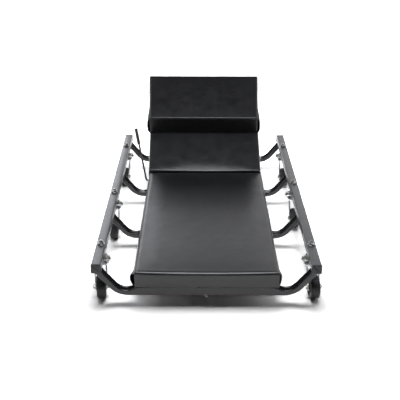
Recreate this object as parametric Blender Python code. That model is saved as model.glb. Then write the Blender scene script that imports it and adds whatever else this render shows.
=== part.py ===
"""Low-profile mechanics creeper with six swivel casters and a tilting head section.

Units are metres and +Z is up. +X is the user's right when seen from the foot
end, and +Y runs from the foot end to the head end. The origin is on the floor
under the middle of the bounding box. Every piece is first laid out in
"station" coordinates, in millimetres: x from the centre line, y from the foot
end of the rail plugs, z from the floor.
"""

import math

import bmesh
import bpy
from mathutils import Matrix, Vector
from mathutils.geometry import tessellate_polygon

# ---------------------------------------------------------------- dimensions
MM = 0.001
GAP = 0.3

# placing the station frame under the bounding-box origin
X_SHIFT = 0.0
Y_SHIFT = -508.7

# side rails: 25.4 mm square tube
TUBE = 25.4
WALL = 1.6
RAIL_X = 288.0
RAIL_TOP = 127.0
RAIL_Y0 = 4.3
RAIL_Y1 = 995.7
RAIL_BOTTOM = RAIL_TOP - TUBE
PLUG_FLANGE = 27.4
PLUG_THICK = 4.0

# cross-members: square tube, pressed flat in the two bends
CM_Y = (17.3, 342.7, 653.7, 972.7)
CM_BOTTOM = 32.0
CM_BEND_X = 207.5
CM_BEND_R = 62.0
CM_BEND_ANGLE = math.radians(50.0)
CM_END_Z = RAIL_BOTTOM - GAP

# deck
DECK_BOTTOM = CM_BOTTOM + TUBE + GAP
BOARD_THICK = 10.0
DECK_TOP = 104.0
PAD_HALF = 193.0
PAD_Y0 = 0.4
PAD_Y1 = 688.0
BOARD_HALF = 185.0
BOARD_Y0 = 8.0
BOARD_Y1 = 681.0

# head section, laid out flat and then tilted about the hinge pin
HINGE_Y = 695.0
HINGE_Z = 59.5
HEAD_TILT = math.radians(32.0)
HEAD_END = 381.0
HEAD_B0 = DECK_BOTTOM - HINGE_Z
HEAD_B1 = DECK_TOP - HINGE_Z
PILLOW_A0 = 186.0
PILLOW_THICK = 83.5
KNUCKLE_R = 4.0
PIN_R = 2.0
LEAF = 2.0

# prop bail and its side lever, one bent rod
PROP_Y = 745.0
PROP_Z = 47.5
PROP_ARM = 100.0
PROP_ANGLE = math.radians(47.7)
LEVER_ANGLE = math.radians(59.5)
LEVER_LENGTH = 187.0
LEVER_X0 = -207.0
LEVER_X1 = -247.0
BAIL_X = 150.0
ROD_R = 3.5
BRACKET_X = 166.5

# casters: station y of the swivel axis, side, and resting yaw in degrees
WHEEL_R = 31.75
TRAIL = 38.0
SWIVEL_X = 288.0
CASTERS = {
    "foot_left": (90.0, -1, 6.0),
    "foot_right": (90.0, 1, 5.4),
    "mid_left": (439.0, -1, 3.0),
    "mid_right": (515.0, 1, 0.0),
    "head_left": (856.0, -1, -5.4),
    "head_right": (856.0, 1, 0.0),
}
RAIL_BOLT_DY = 27.0
EAR_X = 266.5
EAR_DY = -6.0
PLATE_TOP = RAIL_BOTTOM - GAP
PLATE_THICK = 3.0
BOSS_BOTTOM = 92.3
CROWN_TOP = 92.0


# ------------------------------------------------------------------ scene
for _ob in list(bpy.data.objects):
    bpy.data.objects.remove(_ob, do_unlink=True)

COLLECTION = bpy.context.scene.collection


def material(name, color, roughness, metallic):
    mat = bpy.data.materials.new(name)
    mat.use_nodes = True
    bsdf = mat.node_tree.nodes["Principled BSDF"]
    bsdf.inputs["Base Color"].default_value = (*color, 1.0)
    bsdf.inputs["Roughness"].default_value = roughness
    bsdf.inputs["Metallic"].default_value = metallic
    mat.diffuse_color = (*color, 1.0)
    return mat


FINISHES = {
    "rail_paint": ((0.10, 0.105, 0.11), 0.32, 0.3),
    "frame_paint": ((0.012, 0.012, 0.013), 0.25, 0.0),
    "plug_plastic": ((0.035, 0.035, 0.04), 0.5, 0.0),
    "vinyl": ((0.015, 0.015, 0.017), 0.42, 0.0),
    "plywood": ((0.035, 0.031, 0.028), 0.7, 0.0),
    "zinc": ((0.50, 0.48, 0.42), 0.35, 1.0),
    "caster_steel": ((0.55, 0.56, 0.58), 0.3, 1.0),
    "wheel_rubber": ((0.02, 0.02, 0.02), 0.55, 0.0),
    "black_steel": ((0.015, 0.015, 0.016), 0.35, 0.4),
    "grip_plastic": ((0.01, 0.01, 0.01), 0.45, 0.0),
}


def vec(p):
    return Vector(p) * MM


def empty(name, loc, parent=None, rot=(0.0, 0.0, 0.0)):
    e = bpy.data.objects.new(name, None)
    e.empty_display_size = 0.03
    e.location = vec(loc)
    e.rotation_euler = rot
    e.parent = parent
    COLLECTION.objects.link(e)
    return e


ORIGIN = empty("station_frame", (X_SHIFT, Y_SHIFT, 0.0))


def add_object(name, bm, finish, loc=(0, 0, 0), parent=None, cutter=False):
    bmesh.ops.recalc_face_normals(bm, faces=bm.faces)
    me = bpy.data.meshes.new(name)
    bm.to_mesh(me)
    bm.free()
    me.transform(Matrix.Scale(MM, 4))
    me.shade_smooth()
    me.set_sharp_from_angle(angle=math.radians(35.0))
    ob = bpy.data.objects.new(name, me)
    ob.location = vec(loc)
    ob.parent = parent or ORIGIN
    COLLECTION.objects.link(ob)
    if cutter:
        ob.hide_render = True
        ob.display_type = "WIRE"
    else:
        color, rough, metal = FINISHES[finish]
        me.materials.append(material(name, color, rough, metal))
    return ob


def boolean(ob, other, operation):
    mod = ob.modifiers.new(operation.lower(), "BOOLEAN")
    mod.operation = operation
    mod.solver = "EXACT"
    mod.object = other


# ------------------------------------------------------------ mesh helpers
def loft(bm, rings, caps=True, loop=False):
    """Skin a list of rings that all have the same number of points."""
    verts = [[bm.verts.new(p) for p in ring] for ring in rings]
    n = len(rings[0])
    pairs = list(zip(verts, verts[1:]))
    if loop:
        pairs.append((verts[-1], verts[0]))
    for a, b in pairs:
        for i in range(n):
            j = (i + 1) % n
            bm.faces.new((a[i], a[j], b[j], b[i]))
    if caps and not loop:
        bm.faces.new(verts[0])
        bm.faces.new(verts[-1])
    return verts


def circle(r, n, phase=0.0):
    return [
        (r * math.cos(phase + 2 * math.pi * i / n), r * math.sin(phase + 2 * math.pi * i / n))
        for i in range(n)
    ]


def hexagon(across_flats):
    """Twelve points on a hexagon: the corners and the middles of the flats."""
    corner = across_flats / math.sqrt(3.0)
    out = []
    for i in range(12):
        r = corner if i % 2 == 0 else across_flats / 2.0
        a = math.radians(30.0 * i)
        out.append((r * math.cos(a), r * math.sin(a)))
    return out


def ring_z(points, z, cx=0.0, cy=0.0):
    return [(cx + x, cy + y, z) for x, y in points]


def ring_x(points, x, cy=0.0, cz=0.0):
    return [(x, cy + a, cz + b) for a, b in points]


def rounded_rect(x0, x1, y0, y1, r, n=4):
    out = []
    for cx, cy, a0 in (
        (x1 - r, y1 - r, 0.0),
        (x0 + r, y1 - r, 90.0),
        (x0 + r, y0 + r, 180.0),
        (x1 - r, y0 + r, 270.0),
    ):
        for k in range(n):
            a = math.radians(a0 + 90.0 * k / (n - 1))
            out.append((cx + r * math.cos(a), cy + r * math.sin(a)))
    return out


def chamfered_square(half, c):
    return [
        (half, -half + c), (half, half - c), (half - c, half), (-half + c, half),
        (-half, half - c), (-half, -half + c), (-half + c, -half), (half - c, -half),
    ]


def prism(bm, loops, put, z0, z1):
    """Extrude a polygon with holes; loops[0] is the outline, the rest are holes."""
    flat = [p for loop in loops for p in loop]
    tris = tessellate_polygon([[Vector((x, y, 0.0)) for x, y in loop] for loop in loops])
    low = [bm.verts.new(put(x, y, z0)) for x, y in flat]
    high = [bm.verts.new(put(x, y, z1)) for x, y in flat]
    for i, j, k in tris:
        bm.faces.new((low[i], low[j], low[k]))
        bm.faces.new((high[k], high[j], high[i]))
    start = 0
    for loop in loops:
        n = len(loop)
        for i in range(n):
            a, b = start + i, start + (i + 1) % n
            bm.faces.new((low[a], low[b], high[b], high[a]))
        start += n


def convex_outline(points):
    pts = sorted(set((round(x, 4), round(y, 4)) for x, y in points))

    def half(seq):
        out = []
        for p in seq:
            while len(out) >= 2 and (
                (out[-1][0] - out[-2][0]) * (p[1] - out[-2][1])
                - (out[-1][1] - out[-2][1]) * (p[0] - out[-2][0])
            ) <= 1e-6:
                out.pop()
            out.append(p)
        return out[:-1]

    return half(pts) + half(list(reversed(pts)))


def cylinder(bm, r, n, z0, z1, cx=0.0, cy=0.0, phase=0.0):
    ring = circle(r, n, phase)
    loft(bm, [ring_z(ring, z0, cx, cy), ring_z(ring, z1, cx, cy)])


def fillet_path(points, radius, steps):
    """Round each inner corner of a polyline with an arc."""
    pts = [Vector(p) for p in points]
    out = [pts[0]]
    for a, b, c in zip(pts, pts[1:], pts[2:]):
        u, v = (a - b).normalized(), (c - b).normalized()
        half = u.angle(v) / 2.0
        cut = radius / math.tan(half)
        centre = b + (u + v).normalized() * (radius / math.sin(half))
        p, q = b + u * cut - centre, b + v * cut - centre
        turn = p.angle(q)
        axis = p.cross(q).normalized()
        for k in range(steps + 1):
            out.append(centre + Matrix.Rotation(turn * k / steps, 3, axis) @ p)
    out.append(pts[-1])
    return out


def sweep(bm, path, r, n):
    """A round bar along a path, with flat ends."""
    tangents = []
    for i in range(len(path)):
        a, b = path[max(i - 1, 0)], path[min(i + 1, len(path) - 1)]
        tangents.append((b - a).normalized())
    normal = tangents[0].orthogonal().normalized()
    rings = []
    for p, t in zip(path, tangents):
        normal = (normal - t * normal.dot(t)).normalized()
        side = t.cross(normal)
        rings.append([p + normal * x + side * y for x, y in circle(r, n)])
    loft(bm, rings)


# ------------------------------------------------------------------- rails
def rail(name, x):
    bm = bmesh.new()
    zc = RAIL_TOP - TUBE / 2.0
    outer, inner = chamfered_square(TUBE / 2.0, 1.8), chamfered_square(TUBE / 2.0 - WALL, 0.9)

    def at(ring, y):
        return [(x + a, y, zc + b) for a, b in ring]

    loft(bm, [at(outer, RAIL_Y0), at(outer, RAIL_Y1), at(inner, RAIL_Y1), at(inner, RAIL_Y0)], loop=True)
    ob = add_object(name, bm, "rail_paint")
    side = 1 if x > 0 else -1
    bm = bmesh.new()
    for sy, s, _yaw in CASTERS.values():
        if s == side:
            cylinder(bm, 4.4, 12, RAIL_BOTTOM - 5.0, RAIL_TOP + 5.0, x, sy + RAIL_BOLT_DY)
    boolean(ob, add_object(name + "_bolt_holes", bm, None, cutter=True), "DIFFERENCE")
    return ob


def plug(name, x, y_face, inward):
    """Ribbed end plug: a square flange outside the tube and a plug inside it."""
    bm = bmesh.new()
    zc = RAIL_TOP - TUBE / 2.0

    def at(ring, d):
        return [(x + a, y_face + inward * d, zc + b) for a, b in ring]

    half = PLUG_FLANGE / 2.0
    loft(bm, [
        at(chamfered_square(half - 1.0, 2.4), 0.0),
        at(chamfered_square(half, 1.8), 1.0),
        at(chamfered_square(half, 1.8), PLUG_THICK),
        at(chamfered_square(10.7, 1.0), PLUG_THICK),
        at(chamfered_square(10.7, 1.0), PLUG_THICK + 10.0),
        at(chamfered_square(9.6, 1.0), PLUG_THICK + 14.0),
    ])
    return add_object(name, bm, "plug_plastic")


for _side, _x in (("left", -RAIL_X), ("right", RAIL_X)):
    rail("rail_" + _side, _x)
    plug("rail_plug_foot_" + _side, _x, 0.0, 1.0)
    plug("rail_plug_head_" + _side, _x, 1000.0, -1.0)


# ----------------------------------------------------------- cross-members
def cm_stations():
    """Half of the tube's lower line: x, z, slope, height over it, groove depth."""
    out = [
        (0.0, CM_BOTTOM, 0.0, TUBE, 0.0),
        (181.0, CM_BOTTOM, 0.0, TUBE, 0.0),
        (189.0, CM_BOTTOM, 0.0, 21.0, 1.5),
        (198.0, CM_BOTTOM, 0.0, 17.0, 3.5),
        (CM_BEND_X, CM_BOTTOM, 0.0, 15.0, 4.5),
    ]
    steps = 6
    for k in range(1, steps + 1):
        t = CM_BEND_ANGLE * k / steps
        out.append((
            CM_BEND_X + CM_BEND_R * math.sin(t),
            CM_BOTTOM + CM_BEND_R * (1.0 - math.cos(t)),
            t,
            14.5 + 1.5 * k / steps,
            5.0 - 1.0 * k / steps,
        ))
    return out


def cm_section(height, groove, wall):
    w = TUBE / 2.0 - wall
    c = max(2.2 - wall * 0.7, 0.8)
    lo, hi = wall, height - wall
    return [
        (-w + c, lo), (w - c, lo), (w, lo + c), (w, hi - c), (w - c, hi),
        (0.0, hi - groove), (-w + c, hi), (-w, hi - c), (-w, lo + c),
    ]


def cross_member(name, y):
    half = cm_stations()
    full = [(-x, z, -t, h, g) for x, z, t, h, g in reversed(half[1:])] + half

    def rings(wall):
        out = []
        for x, z, t, h, g in full:
            nx, nz = -math.sin(t), math.cos(t)
            out.append([(x + nx * n, y + a, z + nz * n) for a, n in cm_section(h, g, wall)])
        for end, sign in ((0, -1.0), (-1, 1.0)):
            x, z, t, h, g = full[end]
            tx, tz = math.cos(t), math.sin(t)
            cut = []
            for px, py, pz in out[end]:
                k = (CM_END_Z - pz) / (tz * sign)
                cut.append((px + tx * sign * k, py, CM_END_Z))
            if end == 0:
                out.insert(0, cut)
            else:
                out.append(cut)
        return out

    bm = bmesh.new()
    outer, inner = rings(0.0), rings(WALL)
    loft(bm, outer + list(reversed(inner)), loop=True)
    return add_object(name, bm, "frame_paint")


for _i, _y in enumerate(CM_Y):
    _cm = cross_member("cross_member_%d" % (_i + 1), _y)
    if _i == 0:
        _bm = bmesh.new()
        cylinder(_bm, 3.5, 12, CM_BOTTOM - 4.0, CM_BOTTOM + TUBE + 4.0, 0.0, _y)
        boolean(_cm, add_object("cross_member_bolt_hole", _bm, None, cutter=True), "DIFFERENCE")


# --------------------------------------------------------------------- deck
def board(name, x_half, y0, y1, z0, z1, r, parent=None, hole=None):
    bm = bmesh.new()
    loops = [rounded_rect(-x_half, x_half, y0, y1, r)]
    if hole:
        loops.append([(hole[0] + x, hole[1] + y) for x, y in reversed(circle(3.4, 12))])
    prism(bm, loops, lambda x, y, z: (x, y, z), z0, z1)
    return add_object(name, bm, "plywood", parent=parent)


def pad(name, levels, pocket, parent=None):
    """Cushion whose cover wraps the board: a pocket below, rounded edges above.

    levels: (z, x_half, y0, y1, corner radius) from the bottom to the top.
    pocket: (x_half, y0, y1, radius, floor z, ceiling z).
    """
    bm = bmesh.new()
    ph, p0, p1, pr, pz0, pz1 = pocket
    ring = rounded_rect(-ph, ph, p0, p1, pr)
    rings = [ring_z(ring, pz1), ring_z(ring, pz0)] if pz1 > pz0 else []
    rings += [ring_z(rounded_rect(-h, h, y0, y1, r), z) for z, h, y0, y1, r in levels]
    loft(bm, rings)
    return add_object(name, bm, "vinyl", parent=parent)


board("deck_board", BOARD_HALF, BOARD_Y0, BOARD_Y1, DECK_BOTTOM, DECK_BOTTOM + BOARD_THICK, 8.0,
      hole=(0.0, CM_Y[0]))
pad(
    "deck_pad",
    [
        (DECK_BOTTOM, PAD_HALF - 2.5, PAD_Y0 + 2.5, PAD_Y1 - 2.5, 9.0),
        (DECK_BOTTOM + 3.5, PAD_HALF, PAD_Y0, PAD_Y1, 10.0),
        (DECK_TOP - 11.0, PAD_HALF, PAD_Y0, PAD_Y1, 10.0),
        (DECK_TOP - 3.2, PAD_HALF - 2.8, PAD_Y0 + 2.8, PAD_Y1 - 2.8, 9.0),
        (DECK_TOP, PAD_HALF - 10.0, PAD_Y0 + 9.0, PAD_Y1 - 9.0, 8.0),
    ],
    (BOARD_HALF + GAP, BOARD_Y0 - GAP, BOARD_Y1 + GAP, 8.0, DECK_BOTTOM, DECK_BOTTOM + BOARD_THICK + GAP),
)


def hex_bolt(name, parent, loc, stack, finish="zinc", axis="z"):
    """A turned stack of hexagons and circles: (position, "hex" or "round", size)."""
    bm = bmesh.new()
    rings = []
    for at, kind, size in stack:
        pts = hexagon(size) if kind == "hex" else circle(size / 2.0, 12)
        rings.append(ring_z(pts, at) if axis == "z" else ring_x(pts, at))
    loft(bm, rings)
    return add_object(name, bm, finish, loc=loc, parent=parent)


hex_bolt("deck_bolt_front", None, (0.0, CM_Y[0], 0.0), [
    (CM_BOTTOM - 11.0, "round", 4.6), (CM_BOTTOM - 10.2, "round", 6.0), (CM_BOTTOM - 5.6, "round", 6.0),
    (CM_BOTTOM - 5.6, "hex", 8.6), (CM_BOTTOM - 5.0, "hex", 10.0), (CM_BOTTOM - 1.6, "hex", 10.0),
    (CM_BOTTOM - 1.6, "round", 15.0), (CM_BOTTOM - GAP, "round", 15.0),
    (CM_BOTTOM - GAP, "round", 6.0), (DECK_BOTTOM + 8.0, "round", 6.0), (DECK_BOTTOM + 9.0, "round", 4.6),
])


# ------------------------------------------------------------- head section
HEAD_AXIS = empty("head_tilt_axis", (0.0, HINGE_Y, HINGE_Z), ORIGIN, (HEAD_TILT, 0.0, 0.0))

board("head_board", BOARD_HALF, 16.0, 373.0, HEAD_B0, HEAD_B0 + BOARD_THICK, 8.0, parent=HEAD_AXIS)
pad(
    "head_pad",
    [
        (HEAD_B0, PAD_HALF - 2.5, 11.0, HEAD_END - 2.5, 4.0),
        (HEAD_B0 + 3.3, PAD_HALF, 8.5, HEAD_END, 5.0),
        (HEAD_B0 + 21.0, PAD_HALF, 12.5, HEAD_END, 8.0),
        (HEAD_B0 + 33.0, PAD_HALF, 20.0, HEAD_END, 10.0),
        (HEAD_B1 - 4.0, PAD_HALF - 2.8, 30.0, HEAD_END - 2.8, 10.0),
        (HEAD_B1, PAD_HALF - 10.0, 42.0, HEAD_END - 9.0, 9.0),
    ],
    (BOARD_HALF + GAP, 16.0 - GAP, 373.0 + GAP, 8.0, HEAD_B0, HEAD_B0 + BOARD_THICK + GAP),
    parent=HEAD_AXIS,
)


def pillow():
    bm = bmesh.new()
    b0, b1 = HEAD_B1 + 0.4, HEAD_B1 + PILLOW_THICK
    rings = []
    for z, inset, r in (
        (b0, 6.0, 8.0), (b0 + 4.0, 1.2, 10.0), (b0 + 14.0, 0.0, 12.0), (b1 - 14.0, 0.0, 12.0),
        (b1 - 4.0, 2.8, 12.0), (b1, 11.0, 9.0),
    ):
        half = PAD_HALF + 0.5 - inset
        rings.append(ring_z(rounded_rect(-half, half, PILLOW_A0 + inset, HEAD_END - inset, r), z))
    loft(bm, rings)
    return add_object("head_pillow", bm, "vinyl", parent=HEAD_AXIS)


pillow()


def hinge_leaf(name, direction, knuckles, parent, loc, plate_near, plate_far):
    """One leaf of the long hinge, around the pin at the local origin."""
    top = HEAD_B0 - GAP
    bm = bmesh.new()
    y0, y1 = sorted((direction * plate_near, direction * plate_far))
    prism(bm, [[(-176.0, y0), (176.0, y0), (176.0, y1), (-176.0, y1)]],
          lambda x, y, z: (x, y, z), top - LEAF, top)
    ob = add_object(name, bm, "black_steel", parent=parent, loc=loc)
    for i, (x0, x1) in enumerate(knuckles):
        bm = bmesh.new()
        outer = circle(KNUCKLE_R, 12, math.radians(15.0))
        ring = [(a, b) for a, b in outer]
        bore = list(reversed(circle(PIN_R + 0.35, 12, math.radians(15.0))))
        prism(bm, [ring, bore], lambda a, b, z: (z, a, b), x0, x1)
        knuckle = add_object("%s_knuckle_%d" % (name, i), bm, None, parent=parent, loc=loc, cutter=True)
        boolean(ob, knuckle, "UNION")
        bm = bmesh.new()
        near = direction * (plate_near + 3.0)
        tail = direction * 2.9
        lo, hi = sorted((near, tail))
        prism(bm, [[(lo, top - LEAF + 0.1), (hi, top - LEAF + 0.1), (hi, top - 0.1), (lo, top - 0.1)]],
              lambda a, b, z: (z, a, b), x0 + 0.2, x1 - 0.2)
        tongue = add_object("%s_tongue_%d" % (name, i), bm, None, parent=parent, loc=loc, cutter=True)
        boolean(ob, tongue, "UNION")
    return ob


hinge_leaf("hinge_leaf_deck", -1.0, [(-175.0, -106.0), (-35.0, 35.0), (106.0, 175.0)],
           ORIGIN, (0.0, HINGE_Y, HINGE_Z), 4.8, 27.0)
hinge_leaf("hinge_leaf_head", 1.0, [(-105.4, -35.6), (35.6, 105.4)],
           HEAD_AXIS, (0.0, 0.0, 0.0), 4.8, 30.0)

_bm = bmesh.new()
loft(_bm, [ring_x(circle(r, 12, math.radians(15.0)), x) for x, r in
           ((-176.5, 1.4), (-176.0, PIN_R), (176.0, PIN_R), (176.5, 1.4))])
add_object("hinge_pin", _bm, "zinc", loc=(0.0, HINGE_Y, HINGE_Z))

_bm = bmesh.new()
prism(_bm, [rounded_rect(-138.0, 138.0, 108.0, 166.0, 6.0)], lambda x, y, z: (x, y, z),
      HEAD_B0 - GAP - 2.0, HEAD_B0 - GAP)
add_object("prop_wear_plate", _bm, "black_steel", parent=HEAD_AXIS)


# ------------------------------------------------------ prop bail and lever
def prop_bracket(name, x):
    bm = bmesh.new()
    y0 = CM_Y[2] + TUBE / 2.0 + GAP
    end = []
    for k in range(9):
        a = math.radians(90.0 - 180.0 * k / 8)
        end.append((PROP_Y + 6.8 * math.cos(a), PROP_Z + 6.8 * math.sin(a)))
    outline = [(y0, 54.3)] + end + [(y0 + 24.0, 36.0), (y0, 34.0)]
    bore = [(PROP_Y + a, PROP_Z + b) for a, b in circle(ROD_R + 0.4, 12)]
    outline.reverse()
    prism(bm, [outline, list(reversed(bore))], lambda a, b, z: (z, a, b), x - 1.5, x + 1.5)
    return add_object(name, bm, "black_steel")


prop_bracket("prop_bracket_left", -BRACKET_X)
prop_bracket("prop_bracket_right", BRACKET_X)

PROP_AXIS = empty("prop_axis", (0.0, PROP_Y, PROP_Z), ORIGIN)
_arm = (PROP_ARM * math.cos(PROP_ANGLE), PROP_ARM * math.sin(PROP_ANGLE))
_tip = Vector((LEVER_X1, LEVER_LENGTH * math.cos(LEVER_ANGLE), LEVER_LENGTH * math.sin(LEVER_ANGLE)))
_foot = Vector((LEVER_X0, 0.0, 0.0))
_lever_dir = (_tip - _foot).normalized()
_path = fillet_path(
    [
        _tip - _lever_dir * 4.6,
        _foot,
        (-BAIL_X, 0.0, 0.0),
        (-BAIL_X, _arm[0], _arm[1]),
        (BAIL_X, _arm[0], _arm[1]),
        (BAIL_X, 0.0, 0.0),
        (BRACKET_X + 9.0, 0.0, 0.0),
    ],
    8.5, 4,
)
_bm = bmesh.new()
sweep(_bm, _path, ROD_R, 10)
add_object("prop_bail", _bm, "black_steel", parent=PROP_AXIS)

_bm = bmesh.new()
_u = _lever_dir.orthogonal().normalized()
_v = _lever_dir.cross(_u)
_sleeve = 58.0


def _sleeve_ring(s, r):
    c = _tip - _lever_dir * (_sleeve - s)
    return [c + _u * a + _v * b for a, b in circle(r, 10)]


loft(_bm, [
    _sleeve_ring(_sleeve - 4.0, ROD_R + 0.4), _sleeve_ring(0.0, ROD_R + 0.4),
    _sleeve_ring(0.0, 4.9), _sleeve_ring(1.2, 5.4), _sleeve_ring(_sleeve - 3.0, 5.4),
    _sleeve_ring(_sleeve - 0.6, 4.2), _sleeve_ring(_sleeve, 2.6),
])
add_object("lever_grip", _bm, "grip_plastic", parent=PROP_AXIS)


# ----------------------------------------------------------------- casters
def caster_plate(name, side, sy):
    bm = bmesh.new()
    ax, ay = side * (RAIL_X - SWIVEL_X), RAIL_BOLT_DY
    bx, by = side * (EAR_X - SWIVEL_X), EAR_DY
    pts = []
    for cx, cy, r in ((ax, ay, 9.5), (bx, by, 8.5), (0.0, 0.0, 15.0)):
        pts += [(cx + x, cy + y) for x, y in circle(r, 24)]
    outline = convex_outline(pts)
    holes = [
        [(ax + x, ay + y) for x, y in reversed(circle(4.4, 12))],
        [(bx + x, by + y) for x, y in reversed(circle(3.4, 12))],
    ]
    prism(bm, [outline] + holes, lambda x, y, z: (x, y, z), PLATE_TOP - PLATE_THICK, PLATE_TOP)
    loc = (side * SWIVEL_X, sy, 0.0)
    ob = add_object(name, bm, "caster_steel", loc=loc)
    bm = bmesh.new()
    cylinder(bm, 14.0, 20, BOSS_BOTTOM, PLATE_TOP - 1.4)
    boolean(ob, add_object(name + "_boss", bm, None, loc=loc, cutter=True), "UNION")
    bm = bmesh.new()
    loft(bm, [ring_z(circle(r, 16), z) for z, r in
              ((BOSS_BOTTOM - 3.0, 5.4), (PLATE_TOP - 1.9, 5.4), (PLATE_TOP - 1.9, 7.5), (PLATE_TOP + 3.0, 7.5))])
    boolean(ob, add_object(name + "_bore", bm, None, loc=loc, cutter=True), "DIFFERENCE")
    return ob


def fork(name, parent):
    """U-shaped fork around the wheel, with a round crown and the kingpin on top."""
    outline = [(16.0, 89.0), (-20.0, 89.0), (-20.0, 80.0), (-47.7, 34.5)]
    for k in range(7):
        a = math.radians(-190.0 + 155.0 * k / 6)
        outline.append((-TRAIL + 9.8 * math.cos(a), WHEEL_R + 9.8 * math.sin(a)))
    outline += [(6.0, 73.0), (16.0, 83.0)]
    bm = bmesh.new()
    prism(bm, [outline], lambda a, b, z: (z, a, b), -16.2, 16.2)
    ob = add_object(name, bm, "caster_steel", parent=parent)
    bm = bmesh.new()
    loft(bm, [ring_z(circle(r, 20), z) for z, r in
              ((85.4, 22.0), (87.0, 23.0), (91.0, 23.0), (CROWN_TOP, 22.0))])
    boolean(ob, add_object(name + "_crown", bm, None, parent=parent, cutter=True), "UNION")
    bm = bmesh.new()
    prism(bm, [[(-70.0, 0.0), (30.0, 0.0), (30.0, 86.2), (-70.0, 86.2)]],
          lambda a, b, z: (z, a, b), -13.7, 13.7)
    boolean(ob, add_object(name + "_slot", bm, None, parent=parent, cutter=True), "DIFFERENCE")
    bm = bmesh.new()
    loft(bm, [ring_z(circle(r, 16), z) for z, r in
              ((89.0, 5.0), (PLATE_TOP - 1.6, 5.0), (PLATE_TOP - 1.6, 7.0), (PLATE_TOP - 0.4, 7.0))])
    boolean(ob, add_object(name + "_kingpin", bm, None, parent=parent, cutter=True), "UNION")
    bm = bmesh.new()
    ring = circle(4.4, 12)
    loft(bm, [ring_x(ring, -30.0, -TRAIL, WHEEL_R), ring_x(ring, 30.0, -TRAIL, WHEEL_R)])
    boolean(ob, add_object(name + "_axle_hole", bm, None, parent=parent, cutter=True), "DIFFERENCE")
    return ob


def wheel(name, parent):
    half = [(4.35, 13.2), (9.5, 13.2), (10.5, 10.6), (23.0, 10.6), (25.0, 12.5), (29.6, 12.5), (WHEEL_R, 8.0)]
    profile = half + [(r, -x) for r, x in reversed(half)]
    n = 24
    bm = bmesh.new()
    rings = []
    for r, x in profile:
        rings.append([(x, r * math.sin(2 * math.pi * i / n), -r * math.cos(2 * math.pi * i / n)) for i in range(n)])
    loft(bm, rings, loop=True)
    return add_object(name, bm, "wheel_rubber", loc=(0.0, -TRAIL, WHEEL_R), parent=parent)


for _name, (_sy, _side, _yaw) in CASTERS.items():
    _swivel = empty("caster_%s_swivel_axis" % _name, (_side * SWIVEL_X, _sy, 0.0), ORIGIN,
                    (0.0, 0.0, math.radians(_yaw)))
    caster_plate("caster_%s_plate" % _name, _side, _sy)
    hex_bolt("caster_%s_rail_bolt" % _name, None, (_side * RAIL_X, _sy + RAIL_BOLT_DY, 0.0), [
        (93.9, "round", 9.0), (95.2, "round", 12.4), (98.0, "round", 13.0), (98.0, "round", 8.0),
        (RAIL_TOP + GAP, "round", 8.0), (RAIL_TOP + GAP, "round", 21.0), (RAIL_TOP + 1.9, "round", 21.0),
        (RAIL_TOP + 1.9, "hex", 15.0), (RAIL_TOP + 8.2, "hex", 15.0), (RAIL_TOP + 9.0, "round", 14.0),
        (RAIL_TOP + 9.0, "round", 8.0), (RAIL_TOP + 12.0, "round", 7.2),
    ])
    hex_bolt("caster_%s_ear_bolt" % _name, None, (_side * EAR_X, _sy + EAR_DY, 0.0), [
        (94.6, "round", 6.0), (95.4, "round", 9.0), (98.0, "round", 9.4), (98.0, "round", 6.0),
        (PLATE_TOP + GAP, "round", 6.0), (PLATE_TOP + GAP, "hex", 13.0), (PLATE_TOP + 6.0, "hex", 13.0),
        (PLATE_TOP + 6.6, "round", 12.0), (PLATE_TOP + 6.6, "round", 6.0), (PLATE_TOP + 9.6, "round", 5.2),
    ])
    fork("caster_%s_fork" % _name, _swivel)
    wheel("caster_%s_wheel" % _name, _swivel)
    hex_bolt("caster_%s_axle" % _name, _swivel, (0.0, -TRAIL, WHEEL_R), [
        (_side * at, kind, size) for at, kind, size in (
            (-21.6, "hex", 11.0), (-20.8, "hex", 12.5), (-16.5, "hex", 12.5), (-16.5, "round", 8.0),
            (16.5, "round", 8.0), (16.5, "hex", 12.5), (21.2, "hex", 12.5), (21.8, "round", 11.6),
            (21.8, "round", 7.6), (23.4, "round", 6.8),
        )
    ], axis="x")
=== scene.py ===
"""Looks for the mechanics creeper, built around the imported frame."""

import math

import bmesh
import bpy
import numpy as np
from mathutils import Matrix, Vector, noise
from mathutils.geometry import tessellate_polygon


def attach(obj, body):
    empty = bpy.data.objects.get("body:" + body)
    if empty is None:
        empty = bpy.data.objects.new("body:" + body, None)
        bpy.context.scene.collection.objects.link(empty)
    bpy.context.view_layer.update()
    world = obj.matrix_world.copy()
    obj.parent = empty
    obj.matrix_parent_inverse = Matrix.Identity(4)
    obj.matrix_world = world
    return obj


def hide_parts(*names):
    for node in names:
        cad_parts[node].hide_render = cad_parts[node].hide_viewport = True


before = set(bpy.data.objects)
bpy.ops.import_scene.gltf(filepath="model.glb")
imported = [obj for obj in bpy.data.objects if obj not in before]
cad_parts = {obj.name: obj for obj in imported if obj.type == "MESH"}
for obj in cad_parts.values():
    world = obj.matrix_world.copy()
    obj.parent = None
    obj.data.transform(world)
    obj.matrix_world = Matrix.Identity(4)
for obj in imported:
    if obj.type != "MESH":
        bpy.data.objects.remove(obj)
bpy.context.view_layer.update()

Y_SHIFT = -508.7
TO_ROW = Matrix.Scale(0.001, 4) @ Matrix.Translation((0.0, Y_SHIFT, 0.0))

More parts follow.
